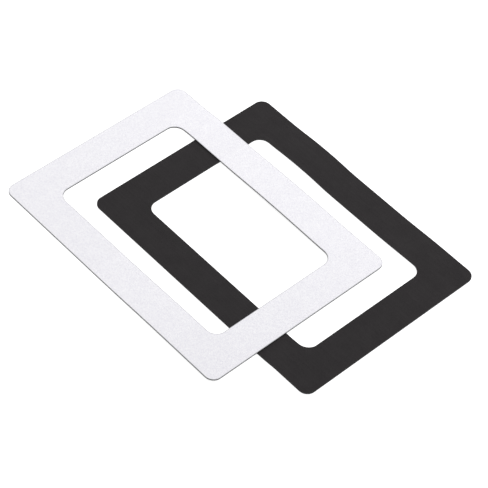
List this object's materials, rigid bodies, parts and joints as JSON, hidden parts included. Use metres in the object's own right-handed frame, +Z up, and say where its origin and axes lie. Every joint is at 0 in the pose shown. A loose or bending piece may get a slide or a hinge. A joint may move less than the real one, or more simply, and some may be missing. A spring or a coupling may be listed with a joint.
{
  "type": "magnetic photo frame",
  "caption": "Flat flexible magnetic photo frame with rounded corners, silver face up, lying across its twin turned over to the black magnet back.",
  "frame": {"origin": "on the table that the pair lies on, under the middle of the pair's outline", "axes": "+X along the frames' long sides, from the face-up frame towards the turned one; +Y along their short sides, away from the viewer; +Z up, out of the silver face"},
  "size_m": [0.2374, 0.1836, 0.0026],
  "materials": {
    "magnet_rubber": "matt black ferrite-filled magnet sheet with a fine even grain",
    "adhesive": "clear, slightly milky laminating adhesive",
    "silver_film": "pale pearl silver, satin, with a very fine metallic grain"
  },
  "bodies": {
    "turned_frame": {"turned_frame_face_film": "silver_film", "turned_frame_adhesive": "adhesive", "turned_frame_magnet_sheet": "magnet_rubber"},
    "silver_frame": {"silver_frame_magnet_sheet": "magnet_rubber", "silver_frame_adhesive": "adhesive", "silver_frame_face_film": "silver_film"}
  },
  "joints": [
    {"name": "silver_frame_lift", "type": "slide", "parent": "turned_frame", "child": "silver_frame", "axis": [0, 0, 1], "range_m": [0, 0.06]}
  ]
}
